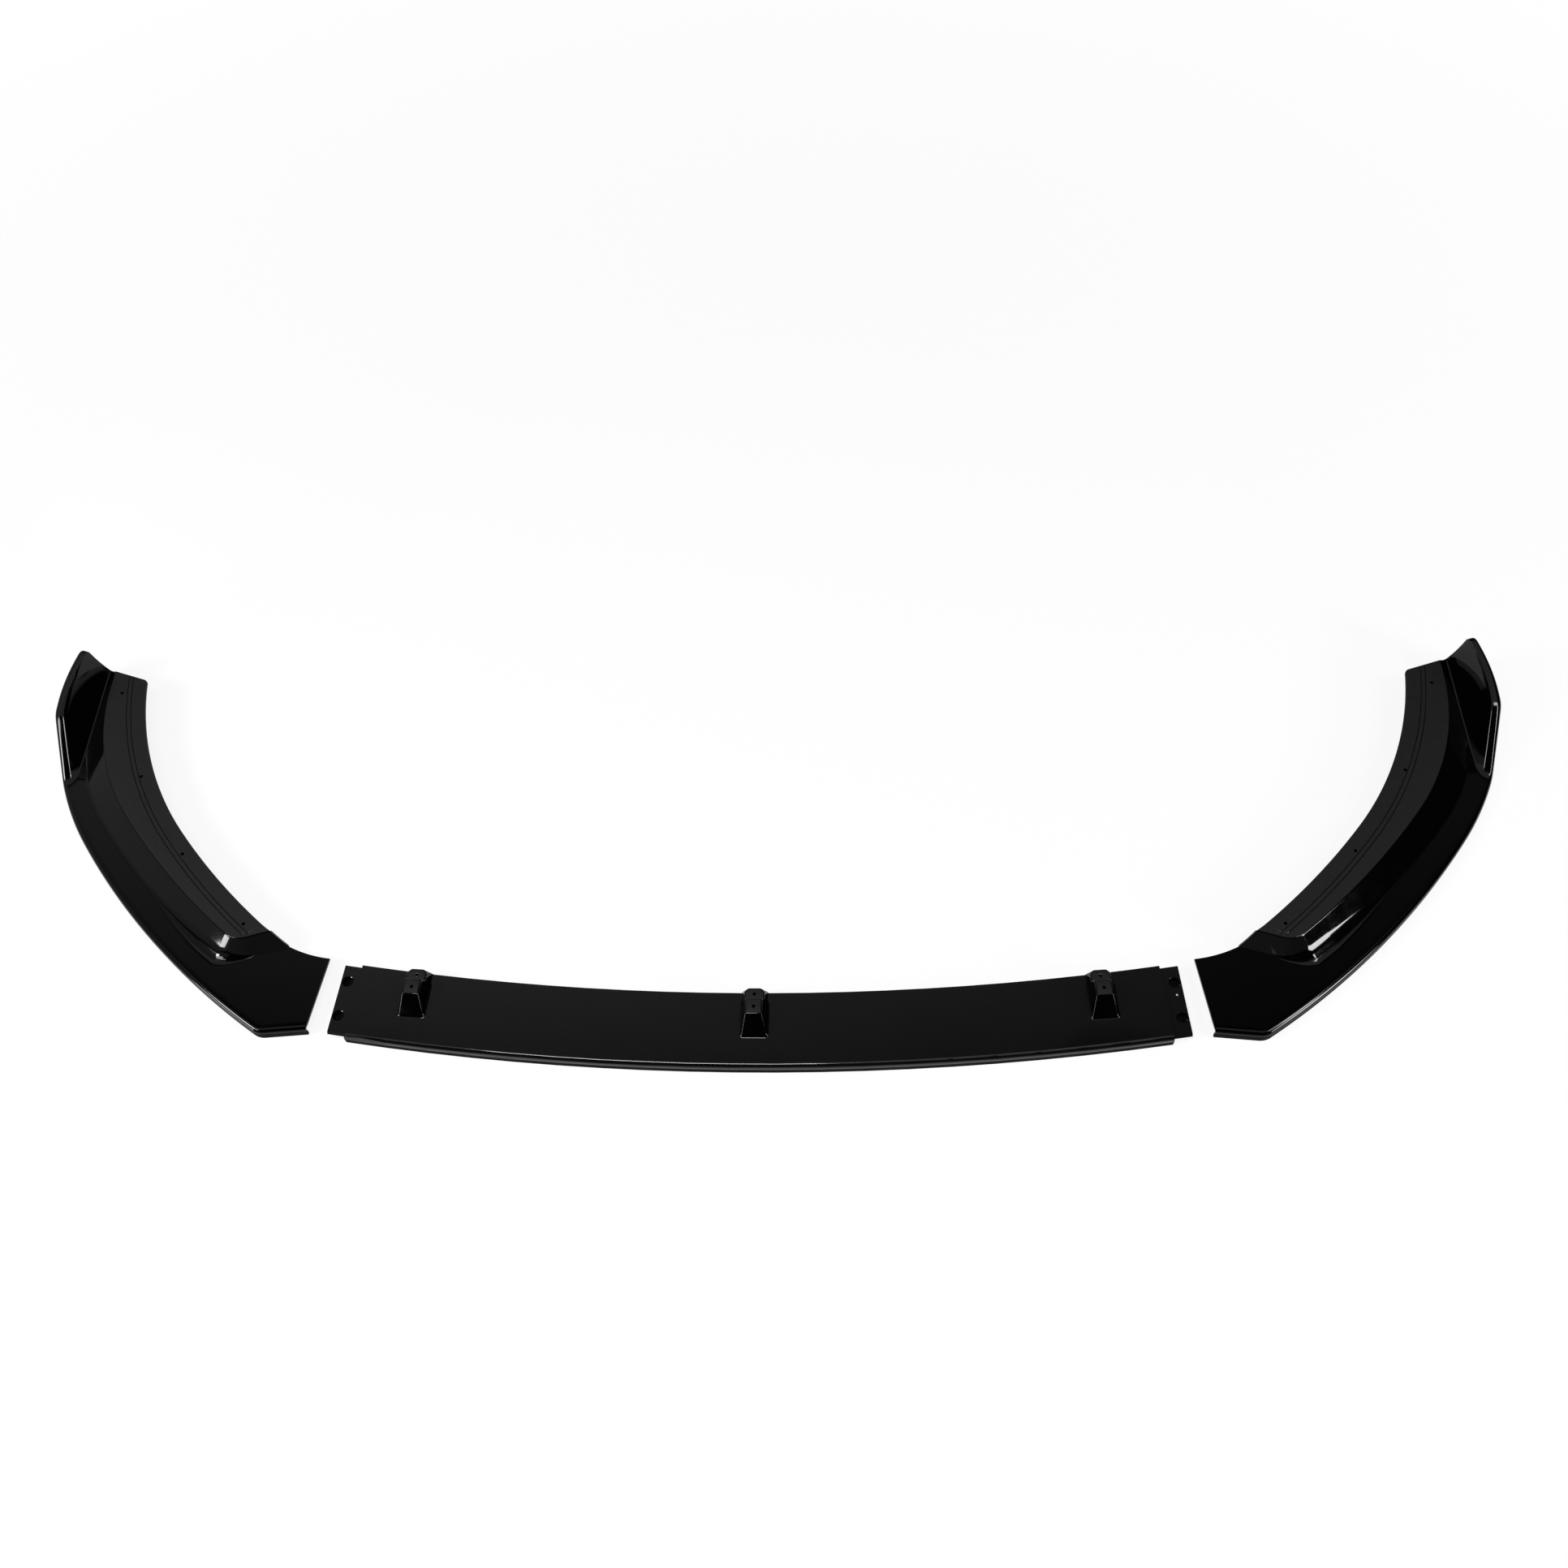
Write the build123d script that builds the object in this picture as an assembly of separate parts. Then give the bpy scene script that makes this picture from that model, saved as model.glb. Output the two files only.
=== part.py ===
from build123d import *
import os
from math import atan, cos, degrees, radians, sin, sqrt, tan

# Front splitter lip: three thin-walled black mouldings laid out side by side, a centre section and
# two wings. On a car each wing laps over the tongue at an end of the centre section, and its posts
# enter the tongue's sockets.
# Millimetres. X runs across the car, Y to the rear, Z up, and the lip lies on Z = 0.

# Wall and leading edge, common to the three mouldings
WALL = 3.0
SKIRT_HEIGHT = 15.0
RIM_RADIUS = 6.0
SCREW_HOLE = 4.2

# Centre section
FRONT_RADIUS = 3200.0
PLATE_DEPTH = 89.8
HALF_SPAN = 469.5

# Joint between the centre section and a wing
JOINT_LEAN = 5.3
JOINT_GAP = 0.2
TONGUE_LENGTH = 21.5
TONGUE_SETBACK = 2.0
STEP_RUN = 4.0
SOCKET_HOLE = 12.0
SOCKET_CHAMFER = 0.8
SOCKET_DEPTH = 8.0
SOCKET_WALL = 1.5
SOCKET_REACH = 13.8
SOCKET_FIRST = 27.0
SOCKET_PITCH = 42.5
PIN_HOLE = 2.6
PIN_FROM_REAR = 15.0
BOSS_GAP = 0.4
BOSS_DROP = 7.0

# Mounting towers on the centre section
TOWER_SPACING = 395.0
TOWER_SETBACK = 37.0
SIDE_TOWER_SETBACK = 60.4
SIDE_TOWER_LEAN = 4.0
TOWER_HALF_WIDTH = 14.7
TOWER_TOP_HALF_WIDTH = 9.5
TOWER_DEPTH = 54.0
TOWER_HEIGHT = 20.5
TOWER_FRONT_RUN = 19.3
TOWER_TOP_END = 38.0
TOWER_STEP_RUN = 2.5
TOWER_STEP_DROP = 8.0
TOWER_EDGE = 1.0
TOWER_HOLE_PLACES = (28.4, 46.5)

# Wing: how far from its joint it lies, and how it is turned there
WING_SHIFT_X = 45.7
WING_SHIFT_Y = 9.2
WING_TURN = 3.2

# Wing: leading edge from the joint to the fin
FRONT_RUN = 57.1
FRONT_HEADING = -4.8
POINT_RADIUS = 22.0
LIP_HEADING = 32.8
LIP_ARCS = ((1033.0, 20.5), (410.0, 13.2))

# Wing: free edge towards the bumper, and the cut across its rear end
TAIL_HEADING = 7.0
TAIL_ARC = (158.8, 32.9)
FLANGE_INNER_ARCS = ((941.0, 10.7), (433.0, 32.6))
REAR_TRIM_HEADING = 18.2

# Wing: raised flange that lies under the bumper
FLANGE_HEIGHT = 22.0
FLANGE_RUN = 20.0
FLANGE_CORNER = (97.3, 102.0)
FLANGE_CORNER_RADIUS = 28.0
FLANGE_FRONT_HEADING = -16.4
FLANGE_HEADING = 37.8
FLANGE_OUTER_ARCS = ((979.0, 14.0), (315.0, 48.0))
FLANGE_EDGE = 2.0
BLEND_RADIUS = 16.0
FLANGE_HOLE_FIRST = 105.5
FLANGE_HOLE_PITCH = 131.0
FLANGE_HOLE_INSETS = (14.0, 14.0, 15.5, 31.0)
GROOVE_INSETS = (18.25, 23.75)
GROOVE_WIDTH = 0.9
GROOVE_DEPTH = 0.45

# Wing: ramp and fin at the rear end, at four stations behind the end of the leading edge.
# Heights are above the plate, reaches are inward from the foot of the outer face.
FIN_STATIONS = (0.0, 83.0, 130.0, 185.0)
FIN_OUTWARD = (0.0, 20.5, 18.9, 14.3)
FIN_LEANS = (0.0, 5.9, 11.6, 29.8)
FIN_HEIGHTS = (0.0, 40.0, 51.0, 64.0)
FIN_RIM_WIDTHS = (12.0, 12.0, 11.0, 9.0)
FIN_RIM_RADII = (6.0, 5.0, 4.5, 4.0)
CREASE_REACHES = (18.6, 43.8, 46.1, 46.2)
RAMP_HEIGHTS = (0.0, 9.4, 15.4, 22.5)
FLOOR_REACH = 75.0

# Ground that a cutting outline runs past the part
CLEAR = 60.0

# How near an edge's middle lies to the line it is picked by
NEAR = 0.1


def heading(angle):
    """Level unit vector at an angle from X."""
    return Vector(cos(radians(angle)), sin(radians(angle)))


def left_arcs(start, angle, arcs, aside=0.0):
    """Tangent arcs that turn left one after another, moved aside to their right."""
    point = Vector(*start) + heading(angle - 90) * aside
    edges = []
    for radius, sweep in arcs:
        edges.append(JernArc(point, heading(angle), radius + aside, sweep))
        point = edges[-1] @ 1
        angle += sweep
    return edges


def section(points, inset):
    """Face under a run of points that starts and ends on the ground, or of the hollow in its wall."""
    steps = [(Vector(*b) - Vector(*a)).normalized() for a, b in zip(points, points[1:])]
    rights = [Vector(step.Y, -step.X) for step in steps]
    before = rights[:1] + rights
    after = rights + rights[-1:]
    run = []
    for point, a, b in zip(points, before, after):
        run.append(Vector(*point) + (a + b) * (inset / (1 + a.dot(b))))
    run[0] -= steps[0] * ((run[0].Y + inset) / steps[0].Y)
    run[-1] -= steps[-1] * ((run[-1].Y + inset) / steps[-1].Y)
    return make_face(Polyline(*run, close=True))


def edges_along(body, path, height, within=NEAR):
    """Edges of a body at a height that lie over a level path, or within a distance of it."""
    level = body.edges().filter_by_position(Axis.Z, height - NEAR, height + NEAR)
    return [e for e in level if path.distance_to(Vector((e @ 0.5).X, (e @ 0.5).Y)) < within]


def rimmed(edges, inset):
    """Body with its leading edge rounded, or its hollow with the corner under that edge cut flat."""
    if inset:
        return chamfer(edges, RIM_RADIUS - inset)
    return fillet(edges, RIM_RADIUS)


def spot(frame, x, y):
    """Point of a frame."""
    return (frame * Pos(x, y)).position


# Joint frames: origin at the leading edge, Y along the joint line, X towards the wing
def front_line(x):
    """Y of the leading edge of the centre section."""
    return FRONT_RADIUS - sqrt(FRONT_RADIUS**2 - x**2)


joint = Location((HALF_SPAN, front_line(HALF_SPAN)), (0, 0, JOINT_LEAN))
wing_place = Location((HALF_SPAN + WING_SHIFT_X, front_line(HALF_SPAN) + WING_SHIFT_Y))
wing_joint = Location((0, 0), (0, 0, JOINT_LEAN + WING_TURN))
socket_places = [(SOCKET_REACH, SOCKET_FIRST + i * SOCKET_PITCH) for i in range(2)]


# Centre section
def ring(outer, inner):
    """Level band between two arcs about the centre of the leading edge's curve."""
    return Pos(0, FRONT_RADIUS) * (Circle(outer) - Circle(inner))


def between_joints(beyond):
    """Ground between the two joint lines, moved outwards by a distance."""
    right = [spot(joint, beyond, y) for y in (-CLEAR, PLATE_DEPTH + CLEAR)]
    left = [Vector(-p.X, p.Y) for p in reversed(right)]
    return make_face(Polyline(*right, *left, close=True))


def plate(inset):
    """Plate with its turned-down leading edge, or the hollow under it."""
    open_ends = CLEAR if inset else 0.0
    band = ring(FRONT_RADIUS - inset, FRONT_RADIUS - PLATE_DEPTH - open_ends) & between_joints(open_ends)
    block = Pos(0, 0, -inset) * extrude(band, SKIRT_HEIGHT)
    front = Pos(0, FRONT_RADIUS) * Edge.make_circle(FRONT_RADIUS - inset)
    return rimmed(edges_along(block, front, SKIRT_HEIGHT - inset), inset)


def tower(inset):
    """Mounting tower with a sloped front and a stepped top, or the hollow inside it."""
    top = TOWER_HEIGHT
    low = TOWER_HEIGHT - TOWER_STEP_DROP
    step_end = TOWER_TOP_END + TOWER_STEP_RUN
    side = [(0, 0), (TOWER_FRONT_RUN, top), (TOWER_TOP_END, top), (step_end, low)]
    side += [(TOWER_DEPTH, low), (TOWER_DEPTH, 0)]
    end = [(-TOWER_HALF_WIDTH, 0), (-TOWER_TOP_HALF_WIDTH, top)]
    end += [(TOWER_TOP_HALF_WIDTH, top), (TOWER_HALF_WIDTH, 0)]
    along = Plane.YZ * extrude(section(side, inset), TOWER_HALF_WIDTH, both=True)
    across = Plane.XZ * extrude(section(end, inset), -TOWER_DEPTH)
    block = along & across
    if not inset:
        block = chamfer(block.edges().filter_by_position(Axis.Z, NEAR, top), TOWER_EDGE)
    return block


tower_places = [Location((0, TOWER_SETBACK, SKIRT_HEIGHT))]
for side in (-1, 1):
    tower_foot = (side * TOWER_SPACING, SIDE_TOWER_SETBACK, SKIRT_HEIGHT)
    tower_places.append(Location(tower_foot, (0, 0, side * SIDE_TOWER_LEAN)))


def hanging(radius, height):
    """Upright post whose top is at the origin."""
    return Cylinder(radius, height, align=(Align.CENTER, Align.CENTER, Align.MAX))


def socket():
    """Room inside a socket, with a chamfered mouth at the origin."""
    radius = SOCKET_HOLE / 2
    mouth = Cone(radius, radius + SOCKET_CHAMFER, SOCKET_CHAMFER, align=(Align.CENTER, Align.CENTER, Align.MAX))
    return hanging(radius, SOCKET_DEPTH) + mouth


def tongues():
    """Tongues that pass under the wings, with the webs that step down to them."""
    front_radius = FRONT_RADIUS - WALL - JOINT_GAP
    band = ring(front_radius, FRONT_RADIUS - PLATE_DEPTH + TONGUE_SETBACK)
    low = SKIRT_HEIGHT - 2 * WALL - JOINT_GAP
    reach = band & (between_joints(TONGUE_LENGTH) - between_joints(-WALL))
    web = band & (between_joints(0) - between_joints(-WALL))
    strip = extrude(reach, WALL)
    front = Pos(0, FRONT_RADIUS) * Edge.make_circle(front_radius)
    strip = chamfer(edges_along(strip, front, WALL), RIM_RADIUS - WALL - JOINT_GAP)
    body = Pos(0, 0, low) * (strip + extrude(web, 2 * WALL))
    mouths = [joint * Pos(x, y, low + WALL) for x, y in socket_places]
    cups = [mouth * hanging(SOCKET_HOLE / 2 + SOCKET_WALL, SOCKET_DEPTH + SOCKET_WALL) for mouth in mouths]
    rooms = [mouth * socket() for mouth in mouths]
    body += cups + [mirror(cup, Plane.YZ) for cup in cups]
    body -= rooms + [mirror(room, Plane.YZ) for room in rooms]
    pin_y = socket_places[-1][1] - PIN_FROM_REAR
    return body - joint * Pos(SOCKET_REACH, pin_y, low) * Cylinder(PIN_HOLE / 2, 2 * WALL)


def step_slope():
    """Wedge that slopes the plate's end down to the right tongue."""
    wedge = make_face(Polyline((-STEP_RUN, 0), (0, -WALL), (0, 0), close=True))
    return joint * Pos(0, -CLEAR, SKIRT_HEIGHT) * Plane.XZ * extrude(wedge, -PLATE_DEPTH - 2 * CLEAR)


def centre_section():
    """Plate, towers and tongues in one moulding."""
    outside = plate(0)
    hollow = plate(WALL)
    for place in tower_places:
        outside += place * tower(0)
        hollow += place * tower(WALL)
    body = outside - hollow + tongues()
    body -= [step_slope(), mirror(step_slope(), Plane.YZ)]
    for place in tower_places:
        for y in TOWER_HOLE_PLACES:
            body -= place * Pos(0, y) * Cylinder(SCREW_HOLE / 2, 2 * TOWER_HEIGHT)
    return body


# Wing, in a frame whose origin is the front corner of its joint
point = heading(FRONT_HEADING) * FRONT_RUN
lip_edge = [Line(heading(FRONT_HEADING) * -CLEAR, point), *left_arcs(point, LIP_HEADING, LIP_ARCS)]
fin_root = lip_edge[-1] @ 1
fin_heading = LIP_HEADING + sum(sweep for _, sweep in LIP_ARCS)
tail_corner = spot(wing_joint, 0, PLATE_DEPTH)
free_edge = left_arcs(tail_corner, TAIL_HEADING, (TAIL_ARC, *FLANGE_INNER_ARCS))
rear_corner = free_edge[-1] @ 1
far_rear = rear_corner.Y + 2 * CLEAR
flange_slope = atan(FLANGE_HEIGHT / FLANGE_RUN)
flange_top = SKIRT_HEIGHT + FLANGE_HEIGHT


def blade(inset):
    """Flat blade with its turned-down leading edge, or the hollow under it."""
    last_radius = LIP_ARCS[-1][0]
    onward = JernArc(fin_root, lip_edge[-1] % 1, last_radius, degrees(CLEAR / last_radius))
    outer = (onward @ 1).X
    inner = (lip_edge[0] @ 0).X
    behind = Polyline(onward @ 1, (outer, far_rear), (inner, far_rear), lip_edge[0] @ 0)
    area = make_face([*lip_edge, onward, behind])
    area = fillet(area.vertices().sort_by_distance(point)[0], POINT_RADIUS)
    if inset:
        area = offset(area, -inset)
    across = heading(fin_heading + 90)
    beside = fin_root - across * CLEAR
    crease = fin_root + across * CREASE_REACHES[0]
    kept = Polyline((inner, -CLEAR), (beside.X, -CLEAR), beside, crease,
                    (crease.X, far_rear), (inner, far_rear), close=True)
    block = Pos(0, 0, -inset) * extrude(area & make_face(kept), SKIRT_HEIGHT)
    rim = edges_along(block, Compound(lip_edge), SKIRT_HEIGHT - inset, inset + WALL)
    return rimmed(rim, inset)


def flange(inset):
    """Raised flange with its sloped wall, run past the free edge, or the hollow under it."""
    corner = Vector(*FLANGE_CORNER)
    ahead = corner - heading(FLANGE_FRONT_HEADING) * 2 * CLEAR
    outer = left_arcs(corner, FLANGE_HEADING, FLANGE_OUTER_ARCS)
    behind = Polyline(outer[-1] @ 1, (ahead.X, (outer[-1] @ 1).Y), ahead)
    area = make_face([Line(ahead, corner), *outer, behind])
    area = fillet(area.vertices().sort_by_distance(corner)[0], FLANGE_CORNER_RADIUS)
    foot = offset(area, FLANGE_RUN - inset * tan(flange_slope / 2), kind=Kind.INTERSECTION)
    block = extrude(foot, FLANGE_HEIGHT, taper=90 - degrees(flange_slope))
    if not inset:
        path = Compound([Line(ahead, corner), *outer])
        block = fillet(edges_along(block, path, FLANGE_HEIGHT, FLANGE_CORNER_RADIUS / 4), FLANGE_EDGE)
    return Pos(0, 0, SKIRT_HEIGHT - inset) * block


def fin(inset):
    """Ramp and fin behind the leading edge, or the hollow inside: straight to the second station,
    then curved through the others. The first station is square to the leading edge."""
    faces = []
    stations = zip(FIN_STATIONS, FIN_OUTWARD, FIN_LEANS, FIN_HEIGHTS, FIN_RIM_WIDTHS, FIN_RIM_RADII,
                   CREASE_REACHES, RAMP_HEIGHTS)
    for back, outward, lean, height, width, radius, reach, ramp in stations:
        rim = (lean, SKIRT_HEIGHT + height)
        run = [(0, 0), rim, (lean + width, rim[1]), (reach, SKIRT_HEIGHT + ramp)]
        run += [(FLOOR_REACH, SKIRT_HEIGHT + ramp), (FLOOR_REACH, 0)]
        face = section(run, inset)
        if not inset:
            face = fillet(face.vertices().sort_by_distance(rim)[0], radius)
        facing = heading(90 if faces else fin_heading)
        foot = fin_root + Vector(outward, back)
        faces.append(Plane(foot, x_dir=facing.rotate(Axis.Z, 90), z_dir=facing) * face)
    return loft(faces[:2], ruled=True) + loft(faces[1:])


def wing_mass(inset):
    """Blade, flange, ramp and fin as one mass, or the hollow under them all."""
    raised = flange(inset)
    foot = Pos(0, 0, inset - SKIRT_HEIGHT) * raised.faces().sort_by(Axis.Z)[0].outer_wire()
    block = blade(inset) + raised
    foot_edges = edges_along(block, foot, SKIRT_HEIGHT - inset)
    block = chamfer(foot_edges, inset) if inset else fillet(foot_edges, BLEND_RADIUS)
    return block + fin(inset)


def wing_outline():
    """Ground that the wing covers behind its leading edge: joint line, free edge and rear cut."""
    before = spot(wing_joint, 0, -CLEAR)
    rear_end = rear_corner + heading(REAR_TRIM_HEADING) * 4 * CLEAR
    ahead = Polyline(tail_corner, before, (rear_end.X, before.Y), rear_end, rear_corner)
    return make_face([ahead, *free_edge])


def flange_place(along, inset):
    """Point of the flange, by its distance along the free edge and in from it."""
    for edge in free_edge:
        if along <= edge.length:
            return edge @ (along / edge.length) + (edge % (along / edge.length)).rotate(Axis.Z, -90) * inset
        along -= edge.length
    raise ValueError("a place on the flange lies past the end of its free edge")


def groove(inset):
    """Fine groove along the flange, parallel to its free edge."""
    angle = TAIL_HEADING + TAIL_ARC[1]
    lines = []
    for side in (-1, 1):
        lines.append(left_arcs(free_edge[0] @ 1, angle, FLANGE_INNER_ARCS, inset + side * GROOVE_WIDTH / 2))
    near, far = lines
    ends = [Line(near[0] @ 0, far[0] @ 0), Line(near[-1] @ 1, far[-1] @ 1)]
    return Pos(0, 0, flange_top - GROOVE_DEPTH) * extrude(make_face([*near, *far, *ends]), WALL)


def boss():
    """Post that enters a tongue's socket from above."""
    return Pos(0, 0, SKIRT_HEIGHT - WALL) * hanging(SOCKET_HOLE / 2 - BOSS_GAP, BOSS_DROP)


def wing():
    """Wing moulding as it lies on the right of the centre section."""
    body = wing_mass(0) - wing_mass(WALL)
    body &= extrude(wing_outline(), 2 * flange_top + FIN_HEIGHTS[-1])
    for x, y in socket_places:
        body += wing_joint * Pos(x, y) * boss()
    for i, inset in enumerate(FLANGE_HOLE_INSETS):
        place = flange_place(FLANGE_HOLE_FIRST + i * FLANGE_HOLE_PITCH, inset)
        body -= Pos(place.X, place.Y, flange_top) * Cylinder(SCREW_HOLE / 2, 2 * WALL + FLANGE_EDGE)
    for inset in GROOVE_INSETS:
        body -= groove(inset)
    return wing_place * body


# Layout: the wings beside the centre section, the set centred over the origin
middle = centre_section()
right = wing()
layout = Pos(0, -(middle.bounding_box().min.Y + right.bounding_box().max.Y) / 2)
os.makedirs("parts", exist_ok=True)
export_step(layout * middle, "parts/centre_section.step")
export_step(layout * right, "parts/right_wing.step")
export_step(layout * mirror(right, Plane.YZ), "parts/left_wing.step")
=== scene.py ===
# %% [markdown]
# # A front splitter lip in gloss black plastic
# The object is a set of three thin mouldings laid out on a pale floor: a bowed centre section and two
# swept wings that end in an upright fin. The imported CAD model gives every place and size, in metres.
# It is loaded first, and its parts stay in the scene, hidden, so that the wings can later be held inside
# their boxes.

# %% Load the frame
import bmesh
import bpy
import math
import numpy as np
from mathutils import Matrix, Vector


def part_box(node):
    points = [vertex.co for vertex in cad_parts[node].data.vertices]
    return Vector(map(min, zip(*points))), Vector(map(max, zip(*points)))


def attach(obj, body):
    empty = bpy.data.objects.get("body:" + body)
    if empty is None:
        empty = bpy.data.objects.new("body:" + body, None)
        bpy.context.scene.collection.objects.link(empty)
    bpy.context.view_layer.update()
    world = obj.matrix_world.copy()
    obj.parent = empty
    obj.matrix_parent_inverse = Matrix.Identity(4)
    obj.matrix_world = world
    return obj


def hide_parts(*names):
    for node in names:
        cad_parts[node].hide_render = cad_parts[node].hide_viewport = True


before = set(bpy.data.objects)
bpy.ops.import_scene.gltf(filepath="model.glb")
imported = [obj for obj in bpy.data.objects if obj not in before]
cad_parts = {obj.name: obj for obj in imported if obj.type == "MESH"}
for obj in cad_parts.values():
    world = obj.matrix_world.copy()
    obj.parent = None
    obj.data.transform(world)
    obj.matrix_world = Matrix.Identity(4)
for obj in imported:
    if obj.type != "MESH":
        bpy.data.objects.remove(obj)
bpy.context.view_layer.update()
scene = bpy.context.scene
scene.view_settings.view_transform = "Standard"

# %% [markdown]
# ## The camera
# The lip was photographed from in front and well above, with a slight turn and a slight roll. A camera
# can be placed by eye, but three angles and a place that were measured once are easier to trust. The
# angles are turned into the camera's own axes: right, up, and away from the view.

# %% Place the camera
PITCH, YAW, ROLL = (math.radians(angle) for angle in (59.07, -5.24, -4.78))
SENSOR_WIDTH, LENS = 36, 34.938
EYE_PLACE = (0.11582, -0.87003, 1.62989)
ahead = Vector((math.sin(YAW) * math.cos(PITCH), math.cos(YAW) * math.cos(PITCH), -math.sin(PITCH)))
level = Vector((math.cos(YAW), -math.sin(YAW), 0))
above = level.cross(ahead)
right = level * math.cos(ROLL) + above * math.sin(ROLL)
up = above * math.cos(ROLL) - level * math.sin(ROLL)
eye = bpy.data.objects.new("camera", bpy.data.cameras.new("camera"))
eye.data.sensor_width = SENSOR_WIDTH
eye.data.lens = LENS
eye.matrix_world = Matrix((right, up, -ahead)).transposed().to_4x4()
eye.location = EYE_PLACE
scene.collection.objects.link(eye)
scene.camera = eye
print("camera looks along", [round(v, 3) for v in ahead])

# %% [markdown]
# ## The floor
# The lip lies on white paper. A studio hangs a paper sweep behind the object; here one flat sheet is
# enough, because nothing but white is seen of it. Camera and mirror rays see it shine white, mixed
# with a small share of its real shading, which holds a soft shadow. That share falls away with the
# distance, so that the paper stays plain white further out. Two helpers, for Map Range and Math nodes,
# are used in every shader below.

# %% Lay the floor
FLOOR_HALF, FLOOR_DROP = 30.0, 0.0002
SHADOW_SHARE, SHADOW_FULL, SHADOW_GONE = 0.13, 0.9, 2.2


def fade(tree, value, start, end, first, last):
    """A number that goes from first to last while a value goes from start to end."""
    made = tree.nodes.new("ShaderNodeMapRange")
    for label, number in zip(("From Min", "From Max", "To Min", "To Max"), (start, end, first, last)):
        made.inputs[label].default_value = number
    tree.links.new(value, made.inputs["Value"])
    return made.outputs[0]


def joined(tree, operation, *values):
    """Output of Math nodes that join any number of outputs."""
    result = values[0]
    for value in values[1:] or values[:1]:
        made = tree.nodes.new("ShaderNodeMath")
        made.operation = operation
        tree.links.new(result, made.inputs[0])
        tree.links.new(value, made.inputs[1])
        result = made.outputs[0]
    return result


corners = [(x * FLOOR_HALF, y * FLOOR_HALF, -FLOOR_DROP) for x, y in ((-1, -1), (1, -1), (1, 1), (-1, 1))]
floor_mesh = bpy.data.meshes.new("floor")
floor_mesh.from_pydata(corners, [], [(0, 1, 2, 3)])
floor = bpy.data.objects.new("floor", floor_mesh)
scene.collection.objects.link(floor)
paper = bpy.data.materials.new("white_paper")
paper.use_nodes = True
tree = paper.node_tree
sheet = tree.nodes["Principled BSDF"]
sheet.inputs["Base Color"].default_value = (0.95, 0.95, 0.95, 1)
sheet.inputs["Roughness"].default_value = 0.9
sheet.inputs["Specular IOR Level"].default_value = 0.1
ray = tree.nodes.new("ShaderNodeLightPath").outputs
seen = joined(tree, "MAXIMUM", ray["Is Camera Ray"], ray["Is Glossy Ray"], ray["Is Transmission Ray"])
away = tree.nodes.new("ShaderNodeVectorMath")
away.operation = "LENGTH"
tree.links.new(tree.nodes.new("ShaderNodeTexCoord").outputs["Object"], away.inputs[0])
share = fade(tree, away.outputs["Value"], SHADOW_FULL, SHADOW_GONE, 1 - SHADOW_SHARE, 1.0)
mix = tree.nodes.new("ShaderNodeMixShader")
tree.links.new(joined(tree, "MULTIPLY", seen, share), mix.inputs[0])
tree.links.new(sheet.outputs[0], mix.inputs[1])
tree.links.new(tree.nodes.new("ShaderNodeEmission").outputs[0], mix.inputs[2])
tree.links.new(mix.outputs[0], tree.nodes["Material Output"].inputs["Surface"])
floor_mesh.materials.append(paper)
print("floor", 2 * FLOOR_HALF, "m across")

# %% [markdown]
# ## The room that the gloss mirrors
# Gloss black has almost no colour of its own: what it shows is the room. A flat gloss sheet shows one
# direction of it, so each part of the lip has its own: the blades mirror the back wall, the rims of the
# fins and every small radius the ceiling, the inner face of the left fin the foot of the right wall, the
# sloped wall of the left flange a side panel, and the front corners of the flanges the front wall. An
# image of a room could be used. Here the world adds these five plain panels, each a product of fades by
# the direction of the ray, and the rest is dark. Camera rays see the world white, like the paper, so
# that there is no horizon.

# %% Darken the room
BACK_LEVEL, CEILING_LEVEL, FOOT_LEVEL = 0.44, 0.62, 0.5
SIDE_LEVEL, FRONT_LEVEL, DARK_LEVEL = 0.33, 0.25, 0.004
world = bpy.data.worlds.new("room")
world.use_nodes = True
scene.world = world
tree = world.node_tree
split = tree.nodes.new("ShaderNodeSeparateXYZ")
tree.links.new(tree.nodes.new("ShaderNodeTexCoord").outputs["Generated"], split.inputs[0])
to_right, to_back, to_top = (split.outputs[axis] for axis in "XYZ")
aside = joined(tree, "ABSOLUTE", to_right)
PANELS = {
    "back_wall": ((to_back, 0.29, 0.46, 0.0, BACK_LEVEL), (to_right, -0.3, 0.25, 1.0, 0.27),
                  (to_top, 0.45, 0.6, 0.0, 1.0)),
    "ceiling": ((to_back, -0.25, -0.15, 0.0, CEILING_LEVEL), (to_back, 0.25, 0.265, 1.0, 0.0),
                (aside, 0.48, 0.60, 1.0, 0.0), (to_top, 0.3, 0.5, 0.0, 1.0)),
    "wall_foot": ((to_top, 0.08, 0.15, FOOT_LEVEL, 0.0), (to_back, 0.22, 0.3, 1.0, 0.0),
                  (to_back, -0.05, 0.03, 0.0, 1.0), (to_right, 0.4, 0.5, 0.0, 1.0)),
    "side_panel": ((to_back, 0.26, 0.38, SIDE_LEVEL, 0.0), (to_right, -0.5, -0.46, 1.0, 0.0),
                   (to_right, -0.8, -0.74, 0.0, 1.0), (to_top, 0.45, 0.52, 0.0, 1.0)),
    "front_wall": ((to_back, -0.6, -0.4, FRONT_LEVEL, 0.0), (to_top, 0.28, 0.36, 1.0, 0.0),
                   (to_right, -0.3, 0.3, 1.0, 0.6)),
}
panels = [joined(tree, "MULTIPLY", *(fade(tree, *edge) for edge in edges)) for edges in PANELS.values()]
dark = tree.nodes.new("ShaderNodeValue").outputs[0]
dark.default_value = DARK_LEVEL
mirrored = joined(tree, "ADD", *panels, dark)
seen = tree.nodes.new("ShaderNodeLightPath").outputs["Is Camera Ray"]
tree.links.new(joined(tree, "MAXIMUM", mirrored, seen), tree.nodes["Background"].inputs["Strength"])
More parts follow.
